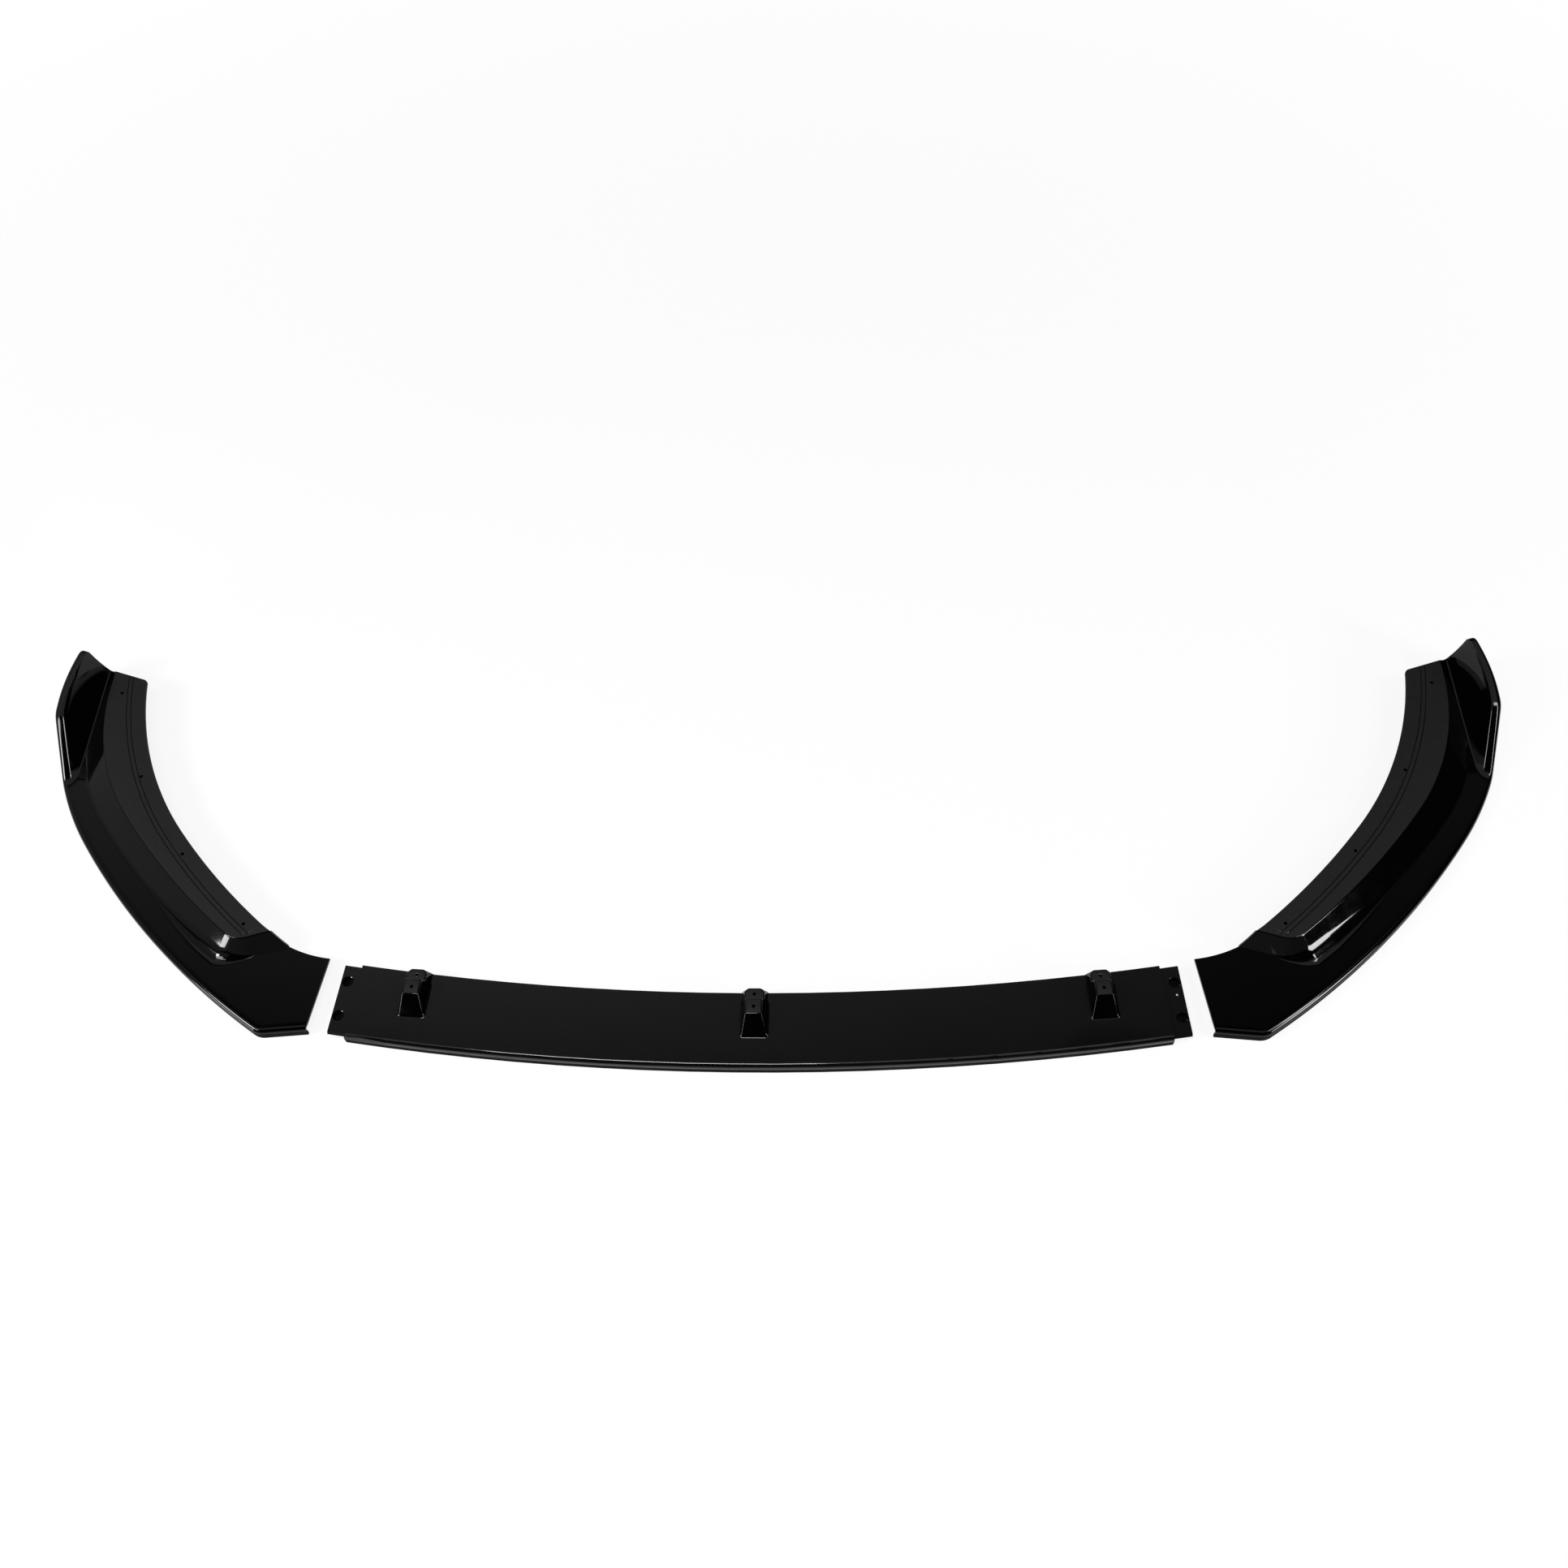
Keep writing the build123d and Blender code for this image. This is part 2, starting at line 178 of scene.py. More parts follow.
tree.nodes["Background"].inputs["Color"].default_value = (1, 1, 1, 1)
print("room with", list(PANELS))

# %% [markdown]
# ## Soft boxes
# Every white line on a gloss edge is the mirror image of a lamp. A studio moves its soft boxes until the
# lines sit right. Here each lamp was put where one highlight asks for it: right_softbox is the streak at
# the foot of the right flange, left_low the spot at the corner of the left one, and right_edge and
# left_softbox are the lines on the leading edges. The strips draw the rims of the fins and the edges of
# the towers, and the card gives the left flange's wall its tone. The camera itself doesn't see them.

# %% Hang the soft boxes
# Name, place, target, direction of the long side, size in metres, watts.
LAMPS = (
    ("right_softbox", (3.237, -1.365, 1.077), (0.944, -0.419, -0.375),
     (0.57, 0.139, -0.809), (0.82, 0.85), 58),
    ("right_edge", (2.657, -0.66, 2.453), (0.363, 0.286, 1.001),
     (-0.272, 0.552, 0.789), (0.75, 0.25), 17),
    ("left_softbox", (-2.802, -0.81, 2.07), (-0.629, -0.101, 0.322),
     (0.389, -0.914, 0.113), (0.6, 0.45), 38),
    ("left_low", (-1.75, -0.73, 0.185), (-0.62, -0.12, 0.185), (0.18, -0.345, 0.0), (0.39, 0.16), 4),
    ("top_strip", (-0.45, -0.46, 2.30), (-0.15, -0.2, 0.0), (1.0, 0.0, 0.0), (1.0, 0.25), 18),
    ("right_strip", (1.84, -0.18, 2.30), (0.87, 0.1, 0.05), (1.0, 0.0, 0.0), (0.5, 0.3), 8),
    ("left_strip", (-2.10, -0.78, 1.98), (-0.87, 0.1, 0.05), (-0.62, 0.78, -0.16), (0.8, 0.5), 15),
    ("left_card", (-1.06, 0.02, 0.145), (0.0, 0.02, 0.145), (0.0, 1.0, 0.0), (1.1, 0.25), 0.28),
)
for name, place, target, along, size, power in LAMPS:
    lamp = bpy.data.objects.new(name, bpy.data.lights.new(name, "AREA"))
    lamp.data.shape = "RECTANGLE"
    lamp.data.size, lamp.data.size_y = size
    lamp.data.energy = power
    away = (Vector(place) - Vector(target)).normalized()
    across = away.cross(Vector(along)).normalized()
    lamp.matrix_world = Matrix((across.cross(away), across, away)).transposed().to_4x4()
    lamp.location = place
    lamp.visible_camera = False
    scene.collection.objects.link(lamp)
print("lamps", [lamp[0] for lamp in LAMPS])

# %% [markdown]
# ## Finishes of one plastic
# The show faces are gloss black. The centre blade's black is lighter and has more sheen: partly a duller
# finish, partly a painted reflection that stands for the brighter room it mirrors. The faces that lie
# under the bumper, the flanges and the tops of the towers, come from an untreated part of the mould and
# look satin grey. The low skirt under the leading edge gets a black that mirrors almost nothing: painted
# shade, which keeps it dark where it would mirror the white floor. Moulded gloss is never quite even: a
# slow ripple bends its reflections, a fine haze changes its roughness, and its black varies from patch
# to patch. Satin has the fine grain of a sparked mould. All of it is noise on Object coordinates, and
# one function makes all four finishes, so that only the numbers differ.

# %% Gloss and satin black
PATCHES, RIPPLES, GRAIN_TO_HAZE = 9, 14, 6
TINTS = (0.85, 1.2)
NOISE_ENDS = (0.3, 0.7)
POLISHED = {"grain": 60, "ripple": 0.00006, "fine": 0.0000015}
SPARKED = {"grain": 150, "ripple": 0.00004, "fine": 0.00003}


def plastic(name, colour, shine, rough, grain, ripple, fine):
    """Moulded black plastic: haze in its roughness, a slow ripple and a fine grain in its surface."""
    made = bpy.data.materials.new(name)
    made.use_nodes = True
    tree = made.node_tree
    shader = tree.nodes["Principled BSDF"]
    shader.inputs["Specular IOR Level"].default_value = shine
    place = tree.nodes.new("ShaderNodeTexCoord")

    def noise(scale, detail):
        node = tree.nodes.new("ShaderNodeTexNoise")
        node.inputs["Scale"].default_value = scale
        node.inputs["Detail"].default_value = detail
        tree.links.new(place.outputs["Object"], node.inputs["Vector"])
        return node.outputs["Fac"]

    def relief(value, depth, below=None):
        node = tree.nodes.new("ShaderNodeBump")
        node.inputs["Distance"].default_value = depth
        tree.links.new(value, node.inputs["Height"])
        if below is not None:
            tree.links.new(below, node.inputs["Normal"])
        return node.outputs[0]

    tint = tree.nodes.new("ShaderNodeValToRGB")
    for stop, share in zip(tint.color_ramp.elements, TINTS):
        stop.color = (*(share * c for c in colour), 1)
    tree.links.new(noise(PATCHES, 3), tint.inputs[0])
    tree.links.new(tint.outputs[0], shader.inputs["Base Color"])
    tree.links.new(fade(tree, noise(grain, 5), *NOISE_ENDS, *rough), shader.inputs["Roughness"])
    waves = relief(noise(RIPPLES, 1), ripple)
    tree.links.new(relief(noise(grain * GRAIN_TO_HAZE, 2), fine, waves), shader.inputs["Normal"])
    return made


gloss = plastic("gloss_black_plastic", (0.0006, 0.0006, 0.0007), 0.27, (0.045, 0.085), **POLISHED)
# Painted reflection: the centre blade's lighter black with more sheen stands for the brighter room it
# mirrors.
sheen_painted = plastic("sheen_painted_black_plastic", (0.0026, 0.0027, 0.0030), 0.58, (0.05, 0.10), **POLISHED)
satin = plastic("satin_black_plastic", (0.0047, 0.0047, 0.0048), 0.25, (0.5, 0.62), **SPARKED)
# Painted shade: a black that mirrors almost nothing, which keeps the skirts and socket floors dark.
shade_painted = plastic("shade_painted_black_plastic", (0.0040, 0.0040, 0.0040), 0.03, (0.6, 0.75), **SPARKED)
print("finishes", gloss.name, sheen_painted.name, satin.name, shade_painted.name)

# %% [markdown]
# ## The lines that shape a wing
# A wing is drawn by three lines on the ground: the leading edge, the free edge that lies along the
# bumper, and the outline of the raised flange. Each is a chain of straight runs and arcs that turn
# left. They could be curve objects, but the mesh needs their points and directions at any length, so
# a small helper walks along a chain and keeps both. Sizes are in millimetres until a mesh is made.

# %% Walk along straight runs and arcs
MM = 0.001
STRIDE = 0.5


def compass(angle):
    """Level unit vectors at angles from X, in degrees."""
    return np.stack([np.cos(np.radians(angle)), np.sin(np.radians(angle))], -1)


def walk(start, angle, *runs):
    """Points and directions along straight runs (length) and left arcs (radius, sweep)."""
    points, angles = [np.atleast_2d(np.array(start, float))], [np.array([float(angle)])]
    for run in runs:
        radius, sweep = run if isinstance(run, tuple) else (None, 0.0)
        length = run if radius is None else radius * math.radians(sweep)
        part = np.linspace(0, 1, max(2, int(length / STRIDE)))[1:]
        turned = angles[-1][-1] + sweep * part
        if radius is None:
            way = compass(angles[-1][-1]) * (length * part)[:, None]
        else:
            way = radius * (compass(turned - 90) - compass(angles[-1][-1] - 90))
        points.append(points[-1][-1] + way)
        angles.append(turned)
    return np.concatenate(points), np.concatenate(angles)


class Line:
    """A chain that can be asked for its place and direction at a length."""

    def __init__(self, points, angles):
        self.points, self.angles = points, angles
        self.lengths = np.concatenate([[0], np.cumsum(np.linalg.norm(np.diff(points, axis=0), axis=1))])
        self.total = self.lengths[-1]

    def at(self, length):
        place = [np.interp(length, self.lengths, self.points[:, i]) for i in (0, 1)]
        return np.stack(place, -1), np.interp(length, self.lengths, self.angles)


LEADING_ANGLE, FREE_ANGLE, FLANGE_ANGLE = -4.8, 7.0, -16.4
JOINT_ANGLE, JOINT_LENGTH = 98.5, 89.8
FLANGE_CORNER, LEAD_IN = np.array((97.3, 102.0)), 160
CORNER_RADIUS, CORNER_SWEEP, CORNER_HALF = 28.0, 55.04, 27.1
leading = Line(*walk((0, 0), LEADING_ANGLE, 49.52, (22.0, 38.0), (1033.0, 20.08), (410.0, 13.2)))
free_start = JOINT_LENGTH * compass(JOINT_ANGLE)
free = Line(*walk(free_start, FREE_ANGLE, (158.8, 32.9), (941.0, 10.7), (433.0, 32.6)))
corner_cut = CORNER_RADIUS * math.tan(math.radians(CORNER_HALF))
flange_start = FLANGE_CORNER - compass(FLANGE_ANGLE) * LEAD_IN
shoulder = Line(*walk(flange_start, FLANGE_ANGLE, LEAD_IN - corner_cut, (CORNER_RADIUS, CORNER_SWEEP),
                      (979.0, 13.16), (315.0, 48.0)))
print("leading edge", round(leading.total, 1), "free edge", round(free.total, 1))

# %% [markdown]
# ## Sections with rounded corners
# Every row of the wing is a section: straight runs joined by true arcs. Rounding the corners here,
# and not with a Bevel at the end, puts the mesh lines along the edges, so that the long highlights
# of a gloss surface run cleanly beside them. The flange's wall is steep in front and turns into a wide
# soft slope along the side, with a blend at its foot that catches one broad white streak.

# %% Round a corner and blend a flange
ROOM_SHARE, LEAST_TURN, LEAST_RUN = 0.48, 0.02, 0.4


def rounded(before, corner, after, radius, steps):
    """Points of the arc that rounds a corner, or of a short straight run where nothing turns."""
    before, corner, after = (np.array(p, float) for p in (before, corner, after))
    arrive, leave = corner - before, after - corner
    room = ROOM_SHARE * min(np.linalg.norm(arrive), np.linalg.norm(leave))
    arrive, leave = arrive / np.linalg.norm(arrive), leave / np.linalg.norm(leave)
    turn = math.acos(max(-1.0, min(1.0, float(arrive @ leave))))
    part = np.linspace(0, 1, steps + 1)[:, None]
    if turn < LEAST_TURN:
        return corner + arrive * (part * 2 - 1) * min(LEAST_RUN, room)
    reach = min(radius * math.tan(turn / 2), room)
    radius = reach / math.tan(turn / 2)
    inside = (leave - arrive * math.cos(turn)) / math.sin(turn)
    arc = np.sin(turn * part) * arrive + (1 - np.cos(turn * part)) * inside
    return corner - arrive * reach + radius * arc


PLATE_TOP, FLANGE_TOP = 15.0, 37.0
EDGE_RADIUS = 2.4
FOOT_STEPS, EDGE_STEPS = 12, 6
FAR_OUT, FAR_IN = 90, -40
WALL_KEYS = (0, 125, 145, 168, 200, 240, 280, 310, 410, 450, 480)
WALL_RUNS = (14, 14, 16, 21.5, 23.5, 24.6, 25.6, 26.4, 29, 32, 33)
WALL_BLENDS = (0.6, 0.6, 16, 34, 34, 26, 14, 8, 8, 8, 8)
COARSE = 2


def flange_wall(along):
    """Section of the flange's wall by the distance outside its outline: foot blend, slope, top edge."""
    run, blend = (float(np.interp(along, WALL_KEYS, sizes)) for sizes in (WALL_RUNS, WALL_BLENDS))
    low, high = (run, PLATE_TOP), (0, FLANGE_TOP)
    foot = rounded((FAR_OUT, PLATE_TOP), low, high, blend, FOOT_STEPS)
    edge = rounded(low, high, (FAR_IN, FLANGE_TOP), EDGE_RADIUS, EDGE_STEPS)
    return foot, edge


def outside(line, points):
    """Distance of points to the right of a line."""
    gaps = np.linalg.norm(points[:, None, :] - line.points[None, ::COARSE, :], axis=2)
    near = gaps.argmin(1) * COARSE
    return ((points - line.points[near]) * compass(line.angles[near] - 90)).sum(1)


print("flange wall", len(flange_wall(0)[0]), "points at the foot,", len(flange_wall(0)[1]), "at the edge")

# %% [markdown]
# ## The ramp and the fin
# Behind the leading edge the wing turns up into a fin. Four stations give its foot, its rim, the inner
# edge of the rim strip and the crease where its inner face meets the ramp. The first station is square
# to the leading edge; from the second one on, a parabola runs through the stations. The ramp itself
# starts straight across the wing, so its height goes by the distance behind the root alone.

# %% Lines of the fin
BACK = np.array((0.0, 83.0, 130.0, 185.0))  # stations, behind the root
OUTWARD = np.array((0.0, 20.5, 18.9, 14.3))  # foot, out from the root
LEAN = np.array((0.0, 5.9, 11.6, 29.8))  # rim, in from the foot
RISE = np.array((0.0, 40.0, 51.0, 64.0))  # rim, above the plate
STRIP = np.array((12.0, 12.0, 11.0, 9.0))  # width of the rim strip
CREASE = np.array((18.6, 43.8, 46.1, 46.2))  # crease, in from the foot
RAMP = np.array((0.0, 9.4, 15.4, 22.5))  # ramp, above the plate
RIM = np.array((6.0, 7.0, 5.0, 4.0))  # radius of the rim
INNER = np.array((2.0, 4.0, 0.8, 0.3))  # radius of the strip's inner edge
REACHES = (np.zeros(4), LEAN, LEAN + STRIP, CREASE)
SIZES = (RISE, RAMP, RIM, INNER)
TRIM = compass(18.2)
TRIES = 2000
root, root_angle = leading.at(leading.total)
inward = compass(root_angle + 90)
RAMP_START = float(inward[1] * CREASE[0])


def through(values, back):
    """Value at a distance behind the fin's root, on the parabola through the last three stations."""
    return np.polyval(np.polyfit(BACK[1:], values[1:], 2), back)


def fin_spot(reach, back):
    """Place of one of the fin's lines behind its second station."""
    return root + np.stack([through(OUTWARD, back) - through(reach, back), np.asarray(back, float)], -1)


tail, _ = free.at(free.total)
ends = []
for reach in REACHES:
    backs = np.linspace(BACK[1], BACK[3], TRIES)
    from_cut = (fin_spot(reach, backs) - tail) @ np.array((-TRIM[1], TRIM[0]))
    ends.append(float(np.interp(0, from_cut, backs)))
print("fin lines end", [round(end, 1) for end in ends], "mm behind the root")

# %% [markdown]
# ## Rows of the wing
# The wing is one sheet of rows that run from the leading edge to the free edge, like the ribs of a
# fan. Where the flange or the fin begins, the rows lie close together. Each row is cut into the same
# number of points, which is what lets neighbouring rows be joined by four-sided faces.

# %% Plan of the rows
ROOT_FREE = float(np.interp(0, (free.points - root) @ compass(root_angle), free.lengths))
SECOND_FREE = float(np.interp(root[1] + BACK[1], free.points[:, 1], free.lengths))
TIP_ROUND, TAIL_ROUND = 7.0, 4.0
LEADING_KEYS = (0, 57, 149, 346, leading.total)
FREE_KEYS = (0, 45, 91, 267, ROOT_FREE)
ROW_RUNS = ((0, 40, 10), (42, 74, 27), (76, 250, 110), (254, leading.total - 24, 60),
            (leading.total - 22.5, leading.total, 16))
RISING_ROWS = 45
FIN_PARTS = np.concatenate([np.linspace(0, 0.9, 40)[1:], np.linspace(0.912, 1, 12)])


def corner_loss(radius, before_end):
    """How far a rounded corner falls short of the sharp one, at a distance before its end."""
    return radius - math.sqrt(max(0.0, radius**2 - max(0.0, radius - before_end) ** 2))


lengths = np.concatenate([np.linspace(*run) for run in ROW_RUNS])
rows = []
for length in lengths:
    foot, angle = leading.at(length)
    end, end_angle = free.at(np.interp(length, LEADING_KEYS, FREE_KEYS))
    way = (end - foot) / np.linalg.norm(end - foot)
    slant = 1 / float(way @ compass(angle + 90))
    marks = [foot + way * slant * reach[0] for reach in REACHES]
    rows.append((marks, [v[0] for v in SIZES], slant, end, end_angle, None))
first = [root + inward * reach[0] for reach in REACHES]
second = [fin_spot(reach, BACK[1]) for reach in REACHES]
for part in np.linspace(0, 1, RISING_ROWS + 1)[1:]:
    marks = [a + (b - a) * part for a, b in zip(first, second)]
    sizes = [v[0] + (v[1] - v[0]) * part for v in SIZES]
    rows.append((marks, sizes, 1.0, *free.at(ROOT_FREE + (SECOND_FREE - ROOT_FREE) * part), None))
for part in FIN_PARTS:
    backs = [BACK[1] + (end - BACK[1]) * part for end in ends]
    marks = [fin_spot(reach, back) for reach, back in zip(REACHES, backs)]
    sizes = [float(through(v, backs[1])) for v in SIZES]
    sizes[0] -= corner_loss(TIP_ROUND, ends[1] - backs[1])
    along = SECOND_FREE + (free.total - SECOND_FREE) * part
    end, end_angle = free.at(along)
    end = end + TRIM * corner_loss(TAIL_ROUND, free.total - along)
    rows.append((marks, sizes, 1.0, end, end_angle, part))
print(len(rows), "rows")

# %% [markdown]
# ## Softened rows
# At the fin's root and at its second station straight lines meet at an angle, and a gloss surface shows
# such a kink at once. A toolmaker blends it by hand. A Smooth modifier would round everything else too,
# so only the numbers of the rows near both places are averaged with their neighbours, by a bell curve
# over the distance along the rim.

# %% Soften the root and the kink
SOFTEN, REACH = 4.5, 20.0
ROOT_ROW = len(lengths) - 1
KINK_ROW = ROOT_ROW + RISING_ROWS
numbers = np.array([[*np.concatenate(marks), *sizes, slant, *end, angle]
                    for marks, sizes, slant, end, angle, _ in rows])
travel = np.concatenate([[0], np.cumsum(np.linalg.norm(np.diff(numbers[:, 2:4], axis=0), axis=1))])
for index, row in enumerate(rows):
    if min(abs(travel[index] - travel[ROOT_ROW]), abs(travel[index] - travel[KINK_ROW])) < REACH:
        weight = np.exp(-(((travel - travel[index]) / SOFTEN) ** 2) / 2) * np.gradient(travel)
        soft = (numbers * weight[:, None]).sum(0) / weight.sum()
        marks, sizes = list(soft[:8].reshape(4, 2)), list(soft[8:12])
        rows[index] = (marks, sizes, soft[12], soft[13:15], soft[15], row[5])
print("softened round rows", ROOT_ROW, "and", KINK_ROW)

# %% [markdown]
# ## From the ground to the crease
# Along a row the points first go up the skirt, round its rim, over the strip and down the inner face to
# the crease. A plain Extrude of the edge would give the height, but not the slightly hollow face or the
# radii that change along the fin. In front of the fin the same points lie flat at the leading edge.

# %% Points up the fin
SKIRT_STEPS, RIM_STEPS, INNER_STEPS, FACE_STEPS, CREASE_STEPS = 5, 8, 4, 10, 5
LEAST_INNER, CREASE_RADIUS = 0.4, 3.0
HOLLOW = 0.05


def outer_points(marks, sizes, slant, end):
    """Points of a row from the ground at the leading edge to the crease."""
    rise, ramp, rim, inner = sizes
    steps = [0.0] + [float(np.linalg.norm(b - a)) for a, b in zip(marks, [*marks[1:], end])]
    reach = np.cumsum(steps)
    top, low = PLATE_TOP + rise, PLATE_TOP + ramp
    flat = [(r / slant, z) for r, z in zip(reach, (0.0, top, top, low, low))]
    skirt = np.linspace(flat[0], rounded(*flat[:3], rim, 1)[0], SKIRT_STEPS)[:-1]
    strip_edge = rounded(*flat[1:4], max(inner, LEAST_INNER), INNER_STEPS)
    profile = np.concatenate([skirt, rounded(*flat[:3], rim, RIM_STEPS), strip_edge])
    face_end = rounded(*flat[2:5], CREASE_RADIUS, CREASE_STEPS)
    face = np.linspace(profile[-1], face_end[0], FACE_STEPS)
    chord = face[-1] - face[0]
    part = np.linspace(0, 1, FACE_STEPS)[:, None]
    inwards = np.array((chord[1], -chord[0]))
    face = (face + inwards * part * (1 - part) * 4 * HOLLOW * min(1.0, rise / RISE[1]))[1:-1]
    profile = np.concatenate([profile, face, face_end])
    line = (*marks, end)
    spots = [np.interp(profile[:, 0] * slant, reach, [p[i] for p in line]) for i in (0, 1)]
    return np.column_stack([*spots, profile[:, 1]])


print("first row has", len(outer_points(*rows[0][:4])), "points up to the crease")

# %% [markdown]
# ## From the crease to the free edge
# The row goes on across the blade, up the flange's wall and over its top. Its height is the higher one
# of the flange and the ramp, with a soft blend where they meet. Two fine lines are scored along the
# flange: they could be a bump, but real dips in the sheet stay true from every side.

# %% Points over the flange
SCORES = (23.75, 18.25)
SCORE_HALF, SCORE_DEPTH = 0.45, 0.45
SCORE_CLEAR, SCORE_RUN_IN, SCORE_RUN_OUT = 2, 6, 20
INSETS = (33.0, 27.5, *(s + k * SCORE_HALF for s in SCORES for k in (1, 0, -1)), 9.0, 0.0)
FIRST_DIP, DIP_STEP = 3, 3
SLOPE_PARTS = np.array((0.1, 0.5, 0.92))
LOOK_STEPS, PLAIN_STEPS = 260, 12
SOFT_MOST, SOFT_SHARE = 1.5, 0.2


def inner_points(start, ramp, end, end_angle, part):
    """Points of a row from the crease to the free edge."""
    span = float(np.linalg.norm(end - start))
    way = (start - end) / span
    away = np.linspace(0, span, LOOK_STEPS)
    beyond = np.maximum.accumulate(outside(shoulder, end + way * away[:, None]))
    beyond += np.arange(len(beyond)) * 1e-7
    crossing = end + way * np.interp(0, beyond, away)
    foot, edge = flange_wall(shoulder.lengths[np.linalg.norm(shoulder.points - crossing, axis=1).argmin()])
    slope = foot[-1, 0] + (edge[0, 0] - foot[-1, 0]) * SLOPE_PARTS
    climb = np.interp(np.concatenate([foot[:, 0], slope, edge[:, 0]]), beyond, away)
    square = abs(float(way @ compass(end_angle - 90)))
    insets = np.minimum(np.array(INSETS) / square, climb[-1])
    plain = np.linspace(span, climb[0], PLAIN_STEPS)[1:-1]
    along = np.concatenate([plain, climb, insets])
    place = end + way * along[:, None]
    table = np.concatenate([foot, edge])[::-1]
    height = np.interp(np.interp(along, away, beyond), table[:, 0], table[:, 1])
    depth = np.zeros(len(along))
    for index in range(len(SCORES)):
        dip = FIRST_DIP + DIP_STEP * index
        run_in = min(1.0, max(0.0, (climb[-1] - insets[dip] - SCORE_CLEAR) / SCORE_RUN_IN))
        run_out = 1.0 if part is None else min(1.0, (1 - part) * SCORE_RUN_OUT)
        depth[len(plain) + len(climb) + dip] = SCORE_DEPTH * run_in * run_out
    back = place[:, 1] - root[1]
    early = np.interp(back, (RAMP_START, BACK[1]), RAMP[:2])
    ground = PLATE_TOP + np.where(back < BACK[1], early, through(RAMP, back))
    soft = min(SOFT_MOST, SOFT_SHARE * ramp) + 1e-6
    near = np.maximum(soft - abs(height - ground), 0) / soft
    height = np.maximum(height, ground) + near**2 * soft / 4 * (ramp > 0) - depth
    return np.column_stack([place, height])


def row_points(marks, sizes, slant, end, end_angle, part):
    """The points of a row from the ground at the leading edge to the free edge."""
    outer = outer_points(marks, sizes, slant, end)
    return np.concatenate([outer, inner_points(outer[-1, :2], sizes[1], end, end_angle, part)])


grid = np.array([row_points(*row) for row in rows])
print("sheet of", grid.shape[0], "rows and", grid.shape[1], "columns")

# %% [markdown]
# ## A wing becomes a moulding
# The grid of points becomes faces, points that fall together are merged, and Solidify gives the sheet
# the wall of the real moulding on its hidden side. The flange's top is satin, except in the scored
# lines, and the skirt gets the black of painted shade, which mirrors almost nothing. The left wing is
# the mirror image, with its faces turned round again.

# %% Make the wing sheets
WALL = 3.0
LIES_AT = np.array((515.2, -230.88))
TOP_COLUMNS = grid.shape[1] - len(INSETS) - 1
DIPS = {TOP_COLUMNS + FIRST_DIP + k + DIP_STEP * i for i in range(len(SCORES)) for k in (0, 1)}
SKIRT_COLUMNS = 5
TOP_SLACK = 0.7
MERGED, SLIVER = 2e-5, 1e-5


def wing_sheet(name, side):
    """Outer sheet of a wing, on the right (1) or mirrored on the left (-1), with its three finishes."""
    count, width = grid.shape[:2]
    places = grid.copy()
    places[:, :, :2] += LIES_AT
    places[:, :, 0] *= side
    low, high = (np.array(corner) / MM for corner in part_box(name.replace("_moulding", "")))
    places = np.clip(places, low, high)
    faces, slots = [], []
    for j in range(count - 1):
        for k in range(width - 1):
            corners = [j * width + k, (j + 1) * width + k, (j + 1) * width + k + 1, j * width + k + 1]
            faces.append(corners if side > 0 else corners[::-1])
            lowest = grid[j : j + 2, k : k + 2, 2].min()
            scored = k in DIPS and lowest < FLANGE_TOP - SCORE_DEPTH / 2
            on_top = k >= TOP_COLUMNS and not scored and lowest > FLANGE_TOP - TOP_SLACK
            # Painted shade: the skirt's faces get a black that mirrors almost nothing.
            shade_painted_skirt = j < ROOT_ROW and k < SKIRT_COLUMNS
            slots.append(1 if on_top else 2 if shade_painted_skirt else 0)
    mesh = bpy.data.meshes.new(name)
    mesh.from_pydata((places.reshape(-1, 3) * MM).tolist(), [], faces)
    mesh.polygons.foreach_set("material_index", slots)
    mesh.polygons.foreach_set("use_smooth", [True] * len(faces))
    work = bmesh.new()
    work.from_mesh(mesh)
    bmesh.ops.remove_doubles(work, verts=work.verts, dist=MERGED)
    bmesh.ops.dissolve_degenerate(work, edges=work.edges, dist=SLIVER)
    work.to_mesh(mesh)
    work.free()
    for finish in (gloss, satin, shade_painted):
        mesh.materials.append(finish)
    piece = bpy.data.objects.new(name, mesh)
    scene.collection.objects.link(piece)
    wall = piece.modifiers.new("wall", "SOLIDIFY")
    wall.thickness = WALL * MM
    wall.offset = -1
    wall.use_even_offset = True
    wall.material_offset = 0
    return piece


wings = {"right_wing": wing_sheet("right_wing_moulding", 1),
         "left_wing": wing_sheet("left_wing_moulding", -1)}
for piece in wings.values():
    print(piece.name, len(piece.data.polygons), "faces before it gets its wall")

# %% [markdown]
# ## Screw holes of the flanges
# Four screws hold each flange. The holes could be left open in the rows, but a Boolean with upright
# drills cuts them straight through the finished wall. The modifiers are then turned into one plain
# mesh, and only edges that turn by more than a set angle are kept sharp.

# %% Cut the screw holes and settle the shading
HOLE = 4.2
FIRST_HOLE, HOLE_STEP = 105.5, 131.0
HOLE_INSETS = (14.0, 14.0, 15.5, 31.0)
DRILL_SIDES, DRILL_LENGTH = 24, 0.02
SHARP = math.radians(32)


def flange_screws(side):
    """Places of the flange's screw holes, in millimetres, on the right (1) or the left (-1)."""
    places = []
    for index, inset in enumerate(HOLE_INSETS):
        place, angle = free.at(FIRST_HOLE + index * HOLE_STEP)
        place = place + compass(angle - 90) * inset + LIES_AT
        places.append((side * place[0], place[1], FLANGE_TOP))
    return places


